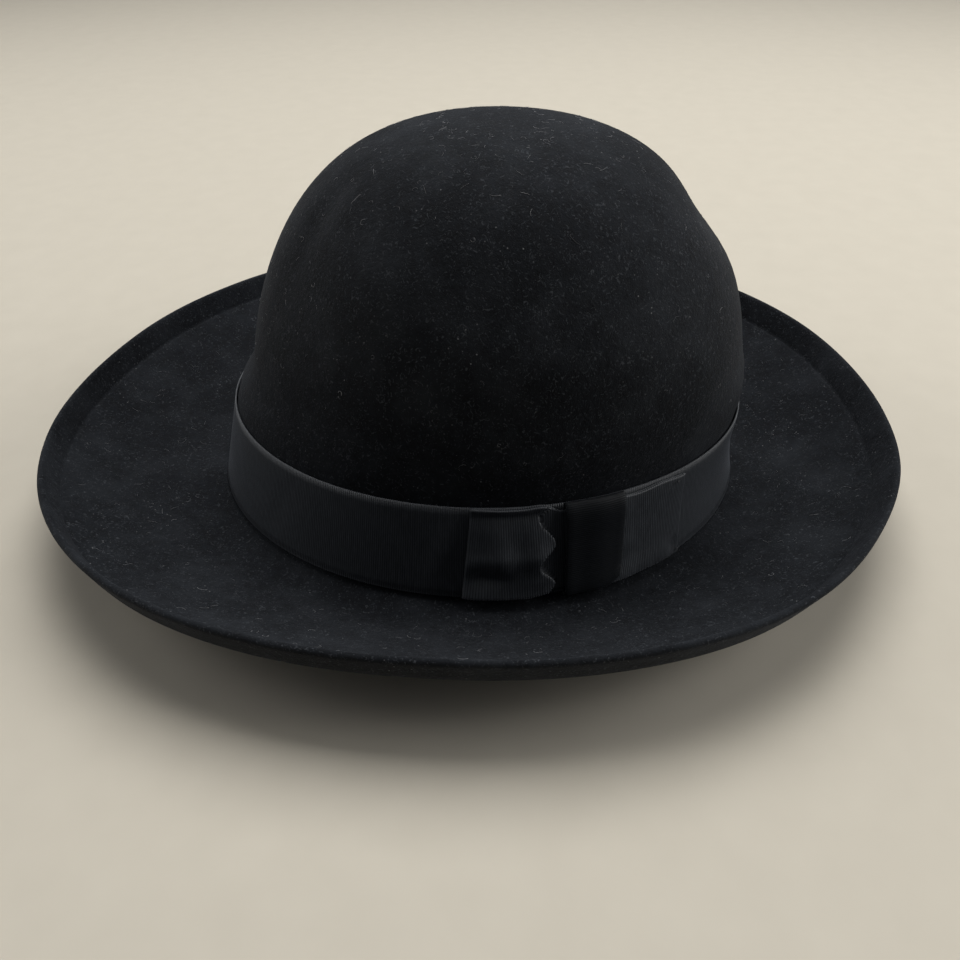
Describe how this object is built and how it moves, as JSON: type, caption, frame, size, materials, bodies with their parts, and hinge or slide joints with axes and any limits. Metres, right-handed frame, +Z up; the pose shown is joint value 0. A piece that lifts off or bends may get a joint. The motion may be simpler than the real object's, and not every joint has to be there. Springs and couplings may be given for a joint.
{
  "type": "round crown felt hat",
  "caption": "Black wool-felt hat with a round crown, a dished brim with a turned-up lip, a ribbed ribbon band and a flat side bow.",
  "frame": {"origin": "middle of the brim's outline, on the plane the hat stands on; the head opening's centre is 5.1 mm behind it", "axes": "+Z up the crown, -Y towards the wearer's front, +X towards the wearer's left, where the bow is"},
  "size_m": [0.2912, 0.3261, 0.1385],
  "materials": {
    "felt": "matte black wool felt with a short nap and stray pale lint",
    "ribbon": "black grosgrain, fine cross ribs, soft satin sheen",
    "leather": "dark brown leather, semi-matte, fine grain",
    "satin": "black satin weave, soft gloss",
    "tape": "black cotton tape, matte",
    "reed": "plain grey plastic reed",
    "label": "blank cream woven tab",
    "thread": "black polyester thread"
  },
  "bodies": {
    "root": {"felt_body": "felt", "ribbon_band": "ribbon", "bow_front_loop": "ribbon", "bow_rear_tail": "ribbon", "bow_knot": "ribbon", "sweatband": "leather", "sweatband_reed": "reed", "reed_tape": "tape", "back_seam_tape": "tape", "back_seam_bow": "satin", "size_tab": "label", "lining_side": "satin", "lining_tip": "satin", "lining_piping": "satin", "tail_tack_lower": "thread", "tail_tack_upper": "thread", "ribbon_tack_front": "thread", "ribbon_tack_right": "thread", "ribbon_tack_back": "thread"}
  },
  "joints": []
}
